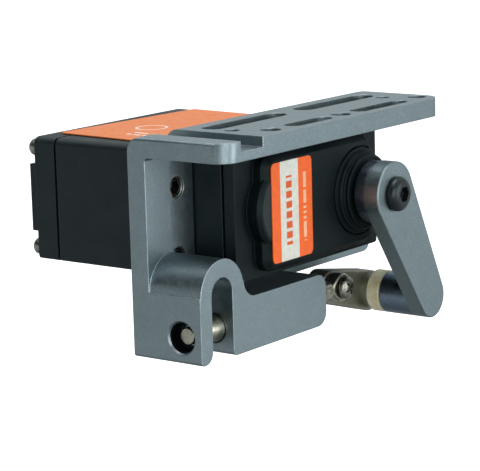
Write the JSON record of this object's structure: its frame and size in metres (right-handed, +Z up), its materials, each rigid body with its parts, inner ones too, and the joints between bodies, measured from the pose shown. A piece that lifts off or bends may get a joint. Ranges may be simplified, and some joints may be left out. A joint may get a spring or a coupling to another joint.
{
  "type": "servo line release mount",
  "caption": "Angle bracket carrying a flat-lying servo whose crank and link draw a locking pin out of a line hook.",
  "frame": {"origin": "middle of the mounting plate's flat top face", "axes": "+Z up out of the plate, +Y along the bracket away from the hook, +X from the wall towards the crank"},
  "size_m": [0.0544, 0.0604, 0.0367],
  "materials": {
    "anodised": "fine bead-blasted titanium-grey anodising, satin",
    "crank_grey": "satin grey anodising",
    "case_black": "fine spark-eroded moulding grain",
    "black_metal": "black oxide",
    "steel": "turned stainless steel",
    "brass": "machined",
    "nylon": "natural nylon",
    "rubber": "moulded",
    "label_orange": "printed vinyl, satin laminate",
    "link_grey": "dull grey",
    "board_green": "solder mask"
  },
  "bodies": {
    "root": {"bracket": "anodised", "servo_mid_case": "case_black", "servo_rear_cover": "case_black", "servo_gear_cover": "case_black", "shaft_collar": "black_metal", "potentiometer": "black_metal", "output_bearing": "steel", "motor_can": "steel", "gear_arbor_1": "steel", "gear_arbor_2": "steel", "ear_screw_1": "steel", "ear_screw_2": "steel", "ear_screw_3": "steel", "ear_screw_4": "steel", "case_screw_1": "steel", "case_screw_2": "steel", "case_screw_3": "steel", "case_screw_4": "steel", "ear_insert_1": "brass", "ear_insert_2": "brass", "ear_insert_3": "brass", "ear_insert_4": "brass", "rear_seal": "rubber", "front_seal": "rubber", "cable_gland": "rubber", "front_label": "label_orange", "top_label": "label_orange", "circuit_board": "board_green"},
    "crank": {"crank_arm": "crank_grey", "horn_screw": "black_metal", "output_shaft": "steel", "output_gear": "steel", "crank_pin": "steel", "crank_washer": "nylon"},
    "link": {"link": "link_grey", "pivot_screw": "steel"},
    "plunger": {"release_pin": "steel", "rod_eye": "steel"},
    "motor_rotor": {"motor_pinion": "brass"},
    "first_gear": {"first_gear": "brass"},
    "second_gear": {"second_gear": "steel"}
  },
  "joints": [
    {"name": "crank_turn", "type": "hinge", "parent": "root", "child": "crank", "pos_m": [0.00835, 0.01215, -0.01365], "axis": [1, 0, 0], "range_deg": [0, 27]},
    {"name": "link_turn", "type": "hinge", "parent": "crank", "child": "link", "pos_m": [0.00065, 0.02325, -0.03288], "axis": [1, 0, 0], "range_deg": [0, 6.6]},
    {"name": "pin_slide", "type": "slide", "parent": "root", "child": "plunger", "axis": [0, 1, 0], "range_m": [0, 0.0079]},
    {"name": "second_gear_turn", "type": "hinge", "parent": "root", "child": "second_gear", "pos_m": [-0.00335, 0.00445, -0.01365], "axis": [1, 0, 0], "range_deg": [-91.9, 0]},
    {"name": "first_gear_turn", "type": "hinge", "parent": "root", "child": "first_gear", "pos_m": [-0.00535, -0.00185, -0.01365], "axis": [1, 0, 0], "range_deg": [0, 294]},
    {"name": "motor_turn", "type": "hinge", "parent": "root", "child": "motor_rotor", "pos_m": [-0.00585, -0.0081, -0.01365], "axis": [1, 0, 0], "range_deg": [-1176, 0]}
  ],
  "couplings": [
    {"joint": "link_turn", "follows": "crank_turn", "ratio": 0.244},
    {"joint": "pin_slide", "follows": "crank_turn", "m_per_rad": 0.0167},
    {"joint": "second_gear_turn", "follows": "crank_turn", "ratio": -3.4},
    {"joint": "first_gear_turn", "follows": "crank_turn", "ratio": 10.88},
    {"joint": "motor_turn", "follows": "crank_turn", "ratio": -43.52}
  ]
}
